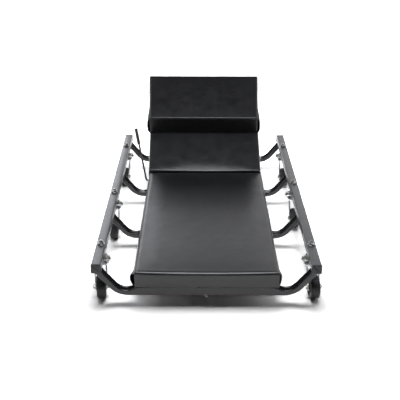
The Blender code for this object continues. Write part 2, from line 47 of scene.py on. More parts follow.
# ---------------------------------------------------------------- dimensions
# station millimetres: x from the centre line, y from the foot end, z from the floor
TUBE = 25.4
RAIL_X, RAIL_TOP = 288.0, 127.0
RAIL_BOTTOM = RAIL_TOP - TUBE
CM_Y = (17.3, 342.7, 653.7, 972.7)
CM_BOTTOM = 32.0
CM_BEND_X, CM_BEND_R, CM_BEND_ANGLE = 207.5, 62.0, math.radians(50.0)
CM_END_Z = RAIL_BOTTOM - 0.3
DECK_BOTTOM, DECK_TOP = 57.7, 104.0
HINGE_Y, HINGE_Z, HEAD_TILT = 695.0, 59.5, math.radians(32.0)
HEAD_B0, HEAD_B1 = DECK_BOTTOM - HINGE_Z, DECK_TOP - HINGE_Z
HEAD_END = 381.0
PROP_Y, PROP_Z = 745.0, 47.5
WHEEL_R, TRAIL = 31.75, 38.0
SWIVEL_X = 288.0
EAR_X, EAR_DY, RAIL_BOLT_DY = 266.5, -6.0, 27.0
PLATE_TOP = RAIL_BOTTOM - 0.3
CASTERS = {
    "foot_left": (90.0, -1, 6.0),
    "foot_right": (90.0, 1, 5.4),
    "mid_left": (439.0, -1, 3.0),
    "mid_right": (515.0, 1, 0.0),
    "head_left": (856.0, -1, -5.4),
    "head_right": (856.0, 1, 0.0),
}
HEAD = Matrix.Translation((0.0, HINGE_Y, HINGE_Z)) @ Matrix.Rotation(HEAD_TILT, 4, "X")
PROP = Matrix.Translation((0.0, PROP_Y, PROP_Z))


# ----------------------------------------------------------------- materials
class Mat:
    """A Principled material with the object-space coordinates ready to use."""

    def __init__(self, name, **sockets):
        self.mat = bpy.data.materials.new(name)
        self.mat.use_nodes = True
        self.nt = self.mat.node_tree
        self.bsdf = self.nt.nodes["Principled BSDF"]
        for k, v in sockets.items():
            self.bsdf.inputs[k.replace("_", " ")].default_value = v
        self.coord = self.nt.nodes.new("ShaderNodeTexCoord").outputs["Object"]

    def node(self, kind, links=None, outputs=0, **values):
        n = self.nt.nodes.new(kind)
        for k, v in values.items():
            key = k.replace("_", " ")
            names = {}
            for s in n.inputs:
                names.setdefault(s.name, s)
            if key in names:
                names[key].default_value = v
            else:
                setattr(n, k, v)
        for key, source in (links or {}).items():
            self.nt.links.new(source, n.inputs[key])
        return n.outputs[outputs]

    def scaled(self, s):
        return self.node("ShaderNodeMapping", {"Vector": self.coord}, Scale=s)

    def noise(self, scale, detail=3.0, rough=0.55, vector=None):
        return self.node("ShaderNodeTexNoise", {"Vector": vector or self.coord}, Scale=scale, Detail=detail, Roughness=rough)

    def ramp(self, source, stops):
        n = self.nt.nodes.new("ShaderNodeValToRGB")
        e = n.color_ramp.elements
        while len(e) < len(stops):
            e.new(0.5)
        for el, (pos, col) in zip(e, stops):
            el.position = pos
            el.color = (col, col, col, 1.0) if isinstance(col, (int, float)) else (*col, 1.0)
        self.nt.links.new(source, n.inputs["Fac"])
        return n.outputs["Color"]

    def mix(self, fac, a, b):
        n = self.nt.nodes.new("ShaderNodeMix")
        n.data_type = "RGBA"
        for value, index in ((fac, 0), (a, 6), (b, 7)):
            if isinstance(value, bpy.types.NodeSocket):
                self.nt.links.new(value, n.inputs[index])
            elif index:
                n.inputs[index].default_value = (*value, 1.0)
            else:
                n.inputs[index].default_value = value
        return n.outputs[2]

    def range(self, source, lo, hi, a=0.3, b=0.7):
        return self.node("ShaderNodeMapRange", {"Value": source}, From_Min=a, From_Max=b, To_Min=lo, To_Max=hi)

    def to(self, socket, source):
        self.nt.links.new(source, self.bsdf.inputs[socket])

    def bump(self, *layers):
        """layers: (height source, strength, distance in metres)"""
        last = None
        for height, strength, distance in layers:
            n = self.nt.nodes.new("ShaderNodeBump")
            n.inputs["Strength"].default_value = strength
            n.inputs["Distance"].default_value = distance
            self.nt.links.new(height, n.inputs["Height"])
            if last:
                self.nt.links.new(last, n.inputs["Normal"])
            last = n.outputs["Normal"]
        self.nt.links.new(last, self.bsdf.inputs["Normal"])


def vinyl(name, dark, light, rough, ior=1.5, coat=0.25):
    m = Mat(name, Roughness=rough, IOR=ior, Coat_Weight=coat, Coat_Roughness=0.2)
    wide = m.noise(9.0, 4.0, 0.6)
    m.to("Base Color", m.mix(m.range(wide, 0.0, 1.0, 0.3, 0.7), dark, light))
    m.to("Roughness", m.range(m.noise(34.0, 4.0, 0.6), rough - 0.05, rough + 0.06))
    cells = m.node("ShaderNodeTexVoronoi", {"Vector": m.coord}, feature="DISTANCE_TO_EDGE", Scale=720.0, Randomness=0.9)
    m.bump(
        (m.noise(26.0, 4.0, 0.55), 0.35, 0.0014),
        (m.range(cells, 0.0, 1.0, 0.0, 0.16), 0.22, 0.00016),
        (m.noise(1900.0, 2.0), 0.12, 0.00008),
    )
    return m.mat


def paint(name, color, lift, rough, coat, metallic=0.0):
    """Powder coat: fine orange peel, a little lighter in random blotches."""
    m = Mat(name, Metallic=metallic, IOR=1.5, Coat_Weight=coat, Coat_Roughness=0.08)
    m.to("Base Color", m.mix(m.range(m.noise(40.0, 5.0, 0.65), 0.0, 1.0, 0.35, 0.7), color, lift))
    m.to("Roughness", m.range(m.noise(70.0, 5.0, 0.6), rough - 0.05, rough + 0.08))
    m.bump((m.noise(520.0, 2.0, 0.5), 0.07, 0.00012), (m.noise(60.0, 3.0, 0.5), 0.05, 0.0003))
    return m.mat


def metal(name, color, second, rough, brushed=None):
    m = Mat(name, Metallic=1.0)
    spots = m.noise(130.0, 5.0, 0.7)
    m.to("Base Color", m.mix(m.range(spots, 0.0, 1.0, 0.35, 0.68), color, second))
    m.to("Roughness", m.range(m.noise(240.0, 4.0, 0.6), rough - 0.07, rough + 0.1))
    vector = m.scaled(brushed) if brushed else m.coord
    m.bump((m.noise(800.0, 3.0, 0.6, vector), 0.12, 0.0001))
    return m.mat


def moulded(name, color, lift, rough, grain=900.0):
    m = Mat(name, IOR=1.46)
    m.to("Base Color", m.mix(m.range(m.noise(60.0, 4.0, 0.6), 0.0, 1.0, 0.3, 0.7), color, lift))
    m.to("Roughness", m.range(m.noise(180.0, 3.0), rough - 0.05, rough + 0.07))
    m.bump((m.noise(grain, 2.0), 0.18, 0.00014))
    return m.mat


def plywood(name):
    """Plywood with the grain along the length, near-black all over as painted shade for the dark space under the deck.
    """
    m = Mat(name, Roughness=0.66)
    grain = m.noise(26.0, 6.0, 0.62, m.scaled((9.0, 0.7, 1.0)))
    pores = m.noise(150.0, 3.0, 0.6, m.scaled((7.0, 0.35, 1.0)))
    # the near-black face colours are painted shade for the dark space under the deck; the lighter pores are the grain
    face = m.mix(m.range(grain, 0.0, 1.0, 0.32, 0.68), (0.040, 0.036, 0.032), (0.022, 0.020, 0.018))
    m.to("Base Color", m.mix(m.range(pores, 0.0, 0.35, 0.5, 0.75), face, (0.085, 0.062, 0.042)))
    m.bump((pores, 0.25, 0.0002))
    return m.mat


VINYL = vinyl("black_vinyl", (0.0075, 0.0078, 0.009), (0.011, 0.0114, 0.013), 0.35)
VINYL_PILLOW = vinyl("black_vinyl_pillow", (0.007, 0.007, 0.0077), (0.010, 0.010, 0.011), 0.36, 1.45, 0.0)
GRAPHITE = paint("graphite_powder_coat", (0.052, 0.053, 0.056), (0.066, 0.067, 0.070), 0.34, 0.25, 0.25)
BLACK = paint("gloss_black_paint", (0.006, 0.006, 0.007), (0.010, 0.010, 0.011), 0.2, 0.15)
BLACK_STEEL = paint("satin_black_paint", (0.010, 0.010, 0.011), (0.018, 0.018, 0.019), 0.36, 0.15)
ZINC_CLEAR = metal("clear_zinc_plate", (0.44, 0.44, 0.43), (0.28, 0.28, 0.28), 0.25)
ZINC = metal("zinc_plate", (0.50, 0.48, 0.42), (0.38, 0.37, 0.34), 0.27)
BRIGHT = metal("bright_zinc_steel", (0.56, 0.57, 0.59), (0.42, 0.43, 0.45), 0.28, (1.0, 1.0, 0.15))
TREAD = moulded("wheel_tread", (0.012, 0.012, 0.013), (0.020, 0.020, 0.021), 0.52)
HUB = moulded("wheel_hub", (0.045, 0.045, 0.048), (0.060, 0.060, 0.064), 0.38)
PLUG = moulded("plug_plastic", (0.022, 0.022, 0.024), (0.032, 0.032, 0.034), 0.45)
GRIP = moulded("grip_plastic", (0.009, 0.009, 0.009), (0.015, 0.015, 0.015), 0.5, 1500.0)
PLY_PAINTED_SHADE = plywood("plywood_painted_shade")


# ------------------------------------------------------------- piece builder
class Piece:
    """One visible piece, made of closed shells, in station millimetres."""

    def __init__(self, local=None):
        self.bm = bmesh.new()
        self.local = local or Matrix.Identity(4)
        self.slot = 0

    def face(self, verts):
        try:
            f = self.bm.faces.new(verts)
        except ValueError:
            return
        f.smooth = True
        f.material_index = self.slot

    def loft(self, rings, loop=False, caps=True):
        vs = [[self.bm.verts.new(self.local @ Vector(p)) for p in ring] for ring in rings]
        n = len(rings[0])
        pairs = list(zip(vs, vs[1:]))
        if loop:
            pairs.append((vs[-1], vs[0]))
        for a, b in pairs:
            for i in range(n):
                j = (i + 1) % n
                self.face((a[i], a[j], b[j], b[i]))
        if caps and not loop:
            self.face(vs[0])
            self.face(vs[-1])
        return vs

    def prism(self, loops, put, z0, z1, edge=0.0):
        """Extruded outline with holes; edge is a small chamfer on the outline."""
        outline, holes = loops[0], loops[1:]
        layers = [(z0, 0.0), (z1, 0.0)]
        if edge:
            layers = [(z0, edge), (z0 + edge, 0.0), (z1 - edge, 0.0), (z1, edge)]
        rings = []
        for z, inset in layers:
            rings.append([self.bm.verts.new(self.local @ Vector(put(x, y, z))) for x, y in offset(outline, -inset)])
        hole_rings = [[[self.bm.verts.new(self.local @ Vector(put(x, y, z))) for x, y in h] for z in (z0, z1)] for h in holes]
        for a, b in zip(rings, rings[1:]):
            n = len(a)
            for i in range(n):
                self.face((a[i], a[(i + 1) % n], b[(i + 1) % n], b[i]))
        for low, high in hole_rings:
            n = len(low)
            for i in range(n):
                self.face((low[i], low[(i + 1) % n], high[(i + 1) % n], high[i]))
        for end, inset in ((0, layers[0][1]), (-1, layers[-1][1])):
            flat = [Vector((x, y, 0.0)) for x, y in offset(outline, -inset)]
            loops3 = [flat] + [[Vector((x, y, 0.0)) for x, y in h] for h in holes]
            verts = list(rings[end])
            for pair in hole_rings:
                verts += pair[0 if end == 0 else 1]
            for tri in tessellate_polygon(loops3):
                self.face([verts[k] for k in tri])

    def lathe(self, profile, n=32, axis="z", at=(0, 0, 0)):
        """profile: (r, t) pairs along the axis, as a solid of revolution with flat ends."""
        rings = []
        for p in profile:
            rings.append([turn(p[0], 2 * math.pi * i / n, p[1], axis, at) for i in range(n)])
        self.loft(rings)

    def ring(self, profile, n=64, axis="z", at=(0, 0, 0)):
        """The same, with the profile closed on itself, so the middle is open."""
        rings = []
        for p in profile:
            rings.append([turn(p[0], 2 * math.pi * i / n, p[1], axis, at) for i in range(n)])
        self.loft(rings, loop=True)

    def hexes(self, layers, af, n=36, axis="z", at=(0, 0, 0)):
        """layers: (t, None) for the full hexagon or (t, r) for the hexagon cut to a circle."""
        rings = []
        for t, limit in layers:
            ring = []
            for i in range(n):
                a = 2 * math.pi * i / n
                r = (af / 2.0) / math.cos((a + math.pi / 6) % (math.pi / 3) - math.pi / 6)
                if limit is not None:
                    r = min(r, limit)
                ring.append(turn(r, a, t, axis, at))
            rings.append(ring)
        self.loft(rings)

    def sweep(self, path, r, n=14, ends=True):
        tangents = [(path[min(i + 1, len(path) - 1)] - path[max(i - 1, 0)]).normalized() for i in range(len(path))]
        normal = tangents[0].orthogonal().normalized()
        rings = []
        for k, (p, t) in enumerate(zip(path, tangents)):
            normal = (normal - t * normal.dot(t)).normalized()
            side = t.cross(normal)
            rr = r(k) if callable(r) else r
            rings.append([p + (normal * math.cos(2 * math.pi * i / n) + side * math.sin(2 * math.pi * i / n)) * rr for i in range(n)])
        self.loft(rings, caps=ends)

    def done(self, name, materials, body, nodes=(), sharp=35.0):
        bm = self.bm
        bmesh.ops.recalc_face_normals(bm, faces=bm.faces)
        me = bpy.data.meshes.new(name)
        bm.to_mesh(me)
        bm.free()
        me.transform(TO_ROW)
        for m in materials:
            me.materials.append(m)
        me.shade_smooth()
        me.set_sharp_from_angle(angle=math.radians(sharp))
        ob = bpy.data.objects.new(name, me)
        bpy.context.scene.collection.objects.link(ob)
        if nodes:
            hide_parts(*nodes)
        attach(ob, body)
        return ob


def turn(r, a, t, axis, at):
    x, y, z = at
    if axis == "z":
        return (x + r * math.cos(a), y + r * math.sin(a), z + t)
    if axis == "x":
        return (x + t, y + r * math.cos(a), z + r * math.sin(a))
    return (x + r * math.cos(a), y + t, z + r * math.sin(a))


def circle(r, n, phase=0.0, cx=0.0, cy=0.0):
    return [(cx + r * math.cos(phase + 2 * math.pi * i / n), cy + r * math.sin(phase + 2 * math.pi * i / n)) for i in range(n)]


def rounded_rect(x0, x1, y0, y1, r, n=6):
    out = []
    for cx, cy, a0 in ((x1 - r, y1 - r, 0.0), (x0 + r, y1 - r, 90.0), (x0 + r, y0 + r, 180.0), (x1 - r, y0 + r, 270.0)):
        for k in range(n):
            a = math.radians(a0 + 90.0 * k / (n - 1))
            out.append((cx + r * math.cos(a), cy + r * math.sin(a)))
    return out


def offset(loop, d):
    """Move a counter-clockwise outline outward by d."""
    if not d:
        return loop
    area = sum(a[0] * b[1] - b[0] * a[1] for a, b in zip(loop, loop[1:] + loop[:1]))
    s = 1.0 if area > 0 else -1.0
    out = []
    n = len(loop)
    for i in range(n):
        (ax, ay), (bx, by), (cx, cy) = loop[i - 1], loop[i], loop[(i + 1) % n]
        e1, e2 = Vector((bx - ax, by - ay)), Vector((cx - bx, cy - by))
        n1, n2 = Vector((e1.y, -e1.x)).normalized(), Vector((e2.y, -e2.x)).normalized()
        m = n1 + n2
        m = m / max(m.length_squared / 2.0, 0.5)
        out.append((bx + s * d * m.x, by + s * d * m.y))
    return out


def hull(points):
    pts = sorted(set((round(x, 4), round(y, 4)) for x, y in points))

    def half(seq):
        out = []
        for p in seq:
            while len(out) >= 2 and (
                (out[-1][0] - out[-2][0]) * (p[1] - out[-2][1]) - (out[-1][1] - out[-2][1]) * (p[0] - out[-2][0])
            ) <= 1e-6:
                out.pop()
            out.append(p)
        return out[:-1]

    return half(pts) + half(list(reversed(pts)))


def fillet_path(points, radius, steps):
    pts = [Vector(p) for p in points]
    out = [pts[0]]
    for a, b, c in zip(pts, pts[1:], pts[2:]):
        u, v = (a - b).normalized(), (c - b).normalized()
        half = u.angle(v) / 2.0
        cut = radius / math.tan(half)
        centre = b + (u + v).normalized() * (radius / math.sin(half))
        p, q = b + u * cut - centre, b + v * cut - centre
        arc, axis = p.angle(q), p.cross(q).normalized()
        for k in range(steps + 1):
            out.append(centre + Matrix.Rotation(arc * k / steps, 3, axis) @ p)
    out.append(pts[-1])
    return out


def smooth(t):
    t = np.clip(t, 0.0, 1.0)
    return t * t * (3.0 - 2.0 * t)


# ------------------------------------------------------------------- cushions
def grid_axis(lo, hi, edge, step):
    """Positions along one side of a box: dense at the rounded edges."""
    inner = max(int(round((hi - lo - 2 * edge) / step)), 4)
    near = [lo + edge * k / 4.0 for k in range(4)]
    mid = [lo + edge + (hi - lo - 2 * edge) * k / inner for k in range(inner + 1)]
    far = [hi - edge + edge * k / 4.0 for k in range(1, 5)]
    return near + mid + far


def cushion(x_half, y0, y1, z0, z1, r_top, r_corner, step=9.0):
    """A box cushion on a quad grid, all edges rounded; returns its bmesh."""
    r_bottom = 1.2
    edge = max(r_top, r_corner)
    gx, gy, gz = grid_axis(-x_half, x_half, edge, step), grid_axis(y0, y1, edge, step), grid_axis(z0, z1, min(edge, 9.0), 6.0)
    bm = bmesh.new()
    seen = {}

    def vert(i, j, k):
        key = (i, j, k)
        if key not in seen:
            seen[key] = bm.verts.new((gx[i], gy[j], gz[k]))
        return seen[key]

    nx, ny, nz = len(gx) - 1, len(gy) - 1, len(gz) - 1
    for i in range(nx):
        for j in range(ny):
            for k in (0, nz):
                bm.faces.new((vert(i, j, k), vert(i + 1, j, k), vert(i + 1, j + 1, k), vert(i, j + 1, k)))
    for i in range(nx):
        for k in range(nz):
            for j in (0, ny):
                bm.faces.new((vert(i, j, k), vert(i + 1, j, k), vert(i + 1, j, k + 1), vert(i, j, k + 1)))
    for j in range(ny):
        for k in range(nz):
            for i in (0, nx):
                bm.faces.new((vert(i, j, k), vert(i, j + 1, k), vert(i, j + 1, k + 1), vert(i, j, k + 1)))
    zc = (z0 + z1) / 2.0
    for v in bm.verts:
        x, y, z = v.co
        r = r_top if z > zc else r_bottom
        # the upright corners, in plan
        cx, cy = min(max(x, -x_half + r_corner), x_half - r_corner), min(max(y, y0 + r_corner), y1 - r_corner)
        d = Vector((x - cx, y - cy))
        if d.length > 1e-6 and abs(x - cx) > 1e-6 and abs(y - cy) > 1e-6:
            d *= max(abs(d.x), abs(d.y)) / d.length
        px, py = cx + d.x, cy + d.y
        # the long edges, in section
        lim_z = min(max(z, z0 + r_bottom), z1 - r_top)
        depth = max(abs(px) - (x_half - r), y0 + r - py, py - (y1 - r), 0.0)
        dz = abs(z - lim_z)
        if depth > 1e-6 and dz > 1e-6:
            k = max(depth, dz) / math.hypot(depth, dz)
            pull = depth * (1.0 - k)
            if abs(px) - (x_half - r) > 0:
                px -= math.copysign(min(abs(px) - (x_half - r), pull), px)
            if y0 + r - py > 0:
                py += min(y0 + r - py, pull)
            if py - (y1 - r) > 0:
                py -= min(py - (y1 - r), pull)
            z = lim_z + math.copysign(dz * k, z - lim_z)
        v.co = (px, py, z)
    # the small corner radii bring some grid points together
    bmesh.ops.remove_doubles(bm, verts=bm.verts, dist=0.25)
    bmesh.ops.recalc_face_normals(bm, faces=bm.faces)
    return bm


def inflate(ob, pin, pressure, cap, frames=20):
    """Swell the cover over its foam by cloth simulation; returns the capped moves in metres."""
    me = ob.data
    n = len(me.vertices)
    base = np.empty(n * 3)
    me.vertices.foreach_get("co", base)
    base = base.reshape(-1, 3)
    group = ob.vertex_groups.new(name="pin")
    for i in range(n):
        if pin[i] > 0.0:
            group.add([i], float(pin[i]), "REPLACE")
    mod = ob.modifiers.new("Cloth", "CLOTH")
    s = mod.settings
    s.quality = 6
    s.mass = 0.35
    s.tension_stiffness = s.compression_stiffness = 22.0
    s.shear_stiffness = 12.0
    s.bending_stiffness = 1.2
    s.air_damping = 2.0
    s.use_pressure = True
    s.uniform_pressure_force = pressure
    s.effector_weights.gravity = 0.0
    s.vertex_group_mass = "pin"
    mod.collision_settings.use_collision = False
    mod.collision_settings.use_self_collision = False
    mod.point_cache.frame_start = 1
    mod.point_cache.frame_end = frames
    scene = bpy.context.scene
    for f in range(1, frames + 1):
        scene.frame_set(f)
    deps = bpy.context.evaluated_depsgraph_get()
    ev = ob.evaluated_get(deps)
    out = np.empty(n * 3)
    ev.data.vertices.foreach_get("co", out)
    move = out.reshape(-1, 3) - base
    ob.modifiers.remove(mod)
    ob.vertex_groups.remove(group)
    scene.frame_set(1)
    length = np.linalg.norm(move, axis=1, keepdims=True)
    limit = cap * np.tanh(length / cap) / np.maximum(length, 1e-9)
    return base, move * limit


def pad_piece(name, bm, shape, pressure, cap, pin_z, local, node, body, material):
    """Cloth-swollen cushion. shape(xyz) is the tailored form in local millimetres."""
    me = bpy.data.meshes.new(name)
    bm.to_mesh(me)
    bm.free()
    me.transform(Matrix.Scale(0.001, 4))
    ob = bpy.data.objects.new(name, me)
    bpy.context.scene.collection.objects.link(ob)
    n = len(me.vertices)
    co = np.empty(n * 3)
    me.vertices.foreach_get("co", co)
    co = co.reshape(-1, 3)
    pin = np.where(co[:, 2] * 1000.0 < pin_z, 1.0, 0.0)
    base, move = inflate(ob, pin, pressure, cap)
    final = shape((base) * 1000.0, move * 1000.0)
    me.vertices.foreach_set("co", (final / 1000.0).astype(np.float32).ravel())
    me.transform(TO_ROW @ local @ Matrix.Scale(1000.0, 4))
    me.update()
    me.materials.append(material)
    me.shade_smooth()
    sub = ob.modifiers.new("Subdivision", "SUBSURF")
    sub.levels = sub.render_levels = 1
    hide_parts(node)
    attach(ob, body)
    return ob


def creases(p, amount, seed, size):
    """Soft tension creases as a displacement along z, in millimetres."""
    out = np.zeros(len(p))
    for i, (x, y, z) in enumerate(p):
        out[i] = noise.fractal(Vector((x / size, y / size, z / size + seed)), 0.9, 2.0, 3)
    return out * amount


def side_weight(p, x_half, y0, y1, reach):
    """1 at the middle of the top, 0 at its edges."""
    wx = smooth((x_half - np.abs(p[:, 0])) / reach)
    wy = smooth(np.minimum(p[:, 1] - y0, y1 - p[:, 1]) / reach)
    return wx * wy


def open_bottom(q, p, x_half, y0, y1, z0):
    """Lift the middle of the pad's underside clear of the board that closes it."""
    inside = np.minimum(np.minimum(x_half - np.abs(p[:, 0]), p[:, 1] - y0), y1 - p[:, 1])
    q[:, 2] += (p[:, 2] < z0 + 0.4) * smooth((inside - 12.0) / 8.0) * 2.5


def deck_shape(p, m):
    x_half, y0, y1, z0, z1 = 192.7, 4.2, 687.0, DECK_BOTTOM, DECK_TOP - 0.4
    q = p.copy()
    t = np.clip((p[:, 2] - z0) / (z1 - z0), 0, 1)
    belly = np.sin(np.pi * t)
    sign = np.sign(p[:, 0])
    side = smooth((np.abs(p[:, 0]) - (x_half - 16.0)) / 14.0)
    back = p[:, 1] - y0
    along = smooth(np.minimum(back, y1 - p[:, 1]) / 16.0)
    # the side panels belly out between the corners
    q[:, 0] += sign * side * belly * 4.4 * along
    q[:, 0] += (sign < 0) * side * 2.2 * smooth((14.0 - back) / 14.0)
    q[:, 0] += m[:, 0] * 0.15 * along
    # the end panel is drawn almost flat
    front = smooth((14.0 - back) / 12.0) * smooth((x_half - np.abs(p[:, 0])) / 40.0)
    q[:, 1] += m[:, 1] * 0.06 - front * (belly * 1.4 - 1.6 * (1.0 - t) ** 4)
    q[:, 2] -= smooth((4.0 - back) / 3.5) * (1.0 - t) ** 5 * 1.5
    top = smooth((p[:, 2] - (z1 - 14.0)) / 12.0)
    q[:, 2] += top * (np.clip(m[:, 2], 0.0, None) * 0.015 + 1.0 * side_weight(p, x_half, y0, y1, 60.0))
    # the foot edge dips a little towards its middle
    foot = smooth((150.0 - back) / 150.0)
    q[:, 2] -= top * foot * 2.8 * (1.0 - (p[:, 0] / x_half) ** 2)
    q[:, 2] += top * creases(p, 0.12, 3.0, 80.0)
    wall = 1.0 - top
    q[:, 0] += wall * creases(p, 0.35, 11.0, 34.0)
    q[:, 1] += wall * creases(p, 0.2, 17.0, 34.0)
    q[:, 0] += 1.2
    open_bottom(q, p, x_half, y0, y1, z0)
    return q


def head_shape(p, m):
    x_half, a0, a1, b0, b1 = 193.5, 10.0, HEAD_END - 1.5, HEAD_B0, HEAD_B1
    q = p.copy()
    t = np.clip((p[:, 2] - b0) / (b1 - b0), 0, 1)
    belly = np.sin(np.pi * t)
    side = smooth((np.abs(p[:, 0]) - (x_half - 16.0)) / 14.0)
    q[:, 0] += np.sign(p[:, 0]) * side * belly * 2.2 + m[:, 0] * 0.15
    q[:, 1] += m[:, 1] * 0.06
    top = smooth((p[:, 2] - (b1 - 14.0)) / 12.0)
    # the near end slopes back, and the top rolls down to it, furthest in the middle
    near = np.clip((a0 + 70.0 - p[:, 1]) / 70.0, 0.0, 1.0)
    q[:, 1] += np.interp(t, [0.0, 0.25, 0.5, 0.75, 1.0], [0.0, 1.0, 3.0, 6.5, 10.5]) * near
    middle = np.clip(1.0 - (p[:, 0] / x_half) ** 2, 0.0, 1.0)
    start = 25.0 + 41.0 * middle ** 1.5
    drop = np.clip(start - q[:, 1], 0.0, None) ** 2 * 0.112 / (start - 16.0)
    q[:, 2] -= drop * t
    # the pillow presses the upper half flat
    under = smooth((p[:, 1] - 150.0) / 40.0)
    q[:, 2] += top * (1.0 - under) * (0.5 * side_weight(p, x_half, a0 + 30.0, a1, 60.0) + np.clip(m[:, 2], 0.0, None) * 0.03)
    q[:, 2] += top * (1.0 - under) * creases(p, 0.1, 23.0, 70.0)
    q[:, 0] += (1.0 - top) * creases(p, 0.3, 29.0, 34.0)
    q[:, 2] = np.where(p[:, 1] > 176.0, np.minimum(q[:, 2], HEAD_B1), q[:, 2])
    # the cover was pulled a little to the left before it was stapled
    q[:, 0] -= smooth((p[:, 2] - b0 - 2.0) / 26.0) * (0.5 + 4.0 * np.clip(p[:, 1] / 381.0, 0, 1))
    open_bottom(q, p, x_half, a0 + 20.0, a1, b0)
    return q


def pillow_shape(p, m):
    x_half, a0, a1, b0, b1 = 188.5, 186.8, HEAD_END + 1.0, HEAD_B1 + 0.2, HEAD_B1 + 79.5
    q = p.copy()
    t = np.clip((p[:, 2] - b0) / (b1 - b0), 0, 1)
    f = np.clip((p[:, 1] - a0) / (a1 - a0), 0, 1)
    belly = np.where(t < 0.25, 0.55 + 0.45 * np.sin(0.5 * np.pi * t / 0.25), np.cos(0.5 * np.pi * (t - 0.25) / 0.75) ** 1.2)
    side = smooth((np.abs(p[:, 0]) - (x_half - 20.0)) / 18.0)
    along = smooth((p[:, 1] - a0 + 1.5) / 7.0)
    q[:, 0] += np.sign(p[:, 0]) * side * belly * along * (4.0 - 2.0 * smooth(f * 1.6))
    q[:, 0] += m[:, 0] * 0.14 * along
    q[:, 1] += m[:, 1] * 0.04
    # wider and thicker towards the far end
    q[:, 0] *= 1.0 + 0.04 * f
    q[:, 2] += 7.5 * f * t
    top = smooth((p[:, 2] - (b1 - 16.0)) / 14.0)
    q[:, 2] += top * (0.6 * side_weight(p, x_half, a0, a1, 60.0) + np.clip(m[:, 2], 0.0, None) * 0.04)
    q[:, 2] += top * creases(p, 0.1, 37.0, 60.0)
    q[:, 0] += (1.0 - top) * creases(p, 0.4, 41.0, 40.0)
    q[:, 0] -= 4.8
    return q


pad_piece("deck_cushion", cushion(192.7, 4.2, 687.0, DECK_BOTTOM, DECK_TOP - 0.4, 9.0, 2.5), deck_shape,
          4.0, 0.012, DECK_BOTTOM + 7.0, Matrix.Identity(4), "deck_pad", "frame", VINYL)
pad_piece("head_cushion", cushion(193.5, 10.0, HEAD_END - 1.5, HEAD_B0, HEAD_B1, 4.0, 3.0, 6.5), head_shape,
          4.0, 0.012, HEAD_B0 + 7.0, HEAD, "head_pad", "head_section", VINYL)
pad_piece("pillow_cushion", cushion(188.5, 186.8, HEAD_END + 1.0, HEAD_B1 + 0.2, HEAD_B1 + 79.5, 6.5, 3.0), pillow_shape,
          4.0, 0.012, HEAD_B1 + 5.0, HEAD, "head_pillow", "head_section", VINYL_PILLOW)


# pleats where the cover is folded over at the foot corners: each stands off the side panel
PLEAT_T = [0.0, 0.1, 0.3, 0.5, 0.7, 0.82, 0.91, 0.96, 1.0]
PLEAT_W = [0.0, 0.3, 0.66, 0.9, 1.0, 0.95, 0.75, 0.45, 0.0]
PILLOW_T = [0.0, 0.06, 0.15, 0.3, 0.5, 0.7, 0.85, 0.95, 1.0]
PILLOW_W = [0.1, 0.55, 0.9, 1.0, 1.0, 0.95, 0.82, 0.5, 0.0]
for side, name, swell in ((-1.0, "left", 10.0), (1.0, "right", 5.8)):
    p = Piece()
    rings = []
    for k in range(17):
        y = 7.6 + 24.0 * k / 16
        taper = 1.0 - float(smooth(k / 16.0 * 1.05))
        outer, inner = [], []
        for j in range(17):
            z = DECK_BOTTOM + 1.0 + (DECK_TOP - DECK_BOTTOM - 8.0) * j / 16
            t = (z - DECK_BOTTOM) / (DECK_TOP - DECK_BOTTOM)
            skin = 192.7 + 4.4 * math.sin(math.pi * t) * float(smooth((y - 4.2) / 16.0))
            x = skin - 1.0 + (swell * taper + 0.4) * float(np.interp(j / 16.0, PLEAT_T, PLEAT_W))
            outer.append((1.2 + side * x, y, z))
            inner.append((1.2 + side * (x - 1.0), y, z))
        rings.append(outer + inner[::-1])
    p.loft(rings)
    p.done("cover_pleat_" + name, [VINYL], "frame", (), 50.0)


# the pillow has the same pleats at its two near corners
for side, name, swell in ((-1.0, "left", 10.0), (1.0, "right", 10.5)):
    p = Piece(HEAD)
    rings = []
    b0, b1 = HEAD_B1 + 0.2, HEAD_B1 + 79.5
    for k in range(17):
        a = 189.6 + 92.0 * k / 16
        f = (a - 186.8) / (HEAD_END + 1.0 - 186.8)
        taper = 1.0 - float(smooth(k / 16.0 * 1.04))
        outer, inner = [], []
        for j in range(17):
            b = b0 - 5.0 + (b1 - b0 - 1.5) * j / 16
            t = max((b - b0) / (b1 - b0), 0.0)
            skin = 188.5 * (1.0 + 0.04 * f) + 2.0 * math.cos(0.5 * math.pi * t)
            x = skin - 1.2 + (swell * taper + 0.3) * float(np.interp(j / 16.0, PILLOW_T, PILLOW_W))
            outer.append((side * x - 4.8, a, b + 7.5 * f * t))
            inner.append((side * (x - 1.1) - 4.8, a, b + 7.5 * f * t))
        rings.append(outer + inner[::-1])
    p.loft(rings)
    p.done("pillow_pleat_" + name, [VINYL_PILLOW], "head_section", (), 50.0)


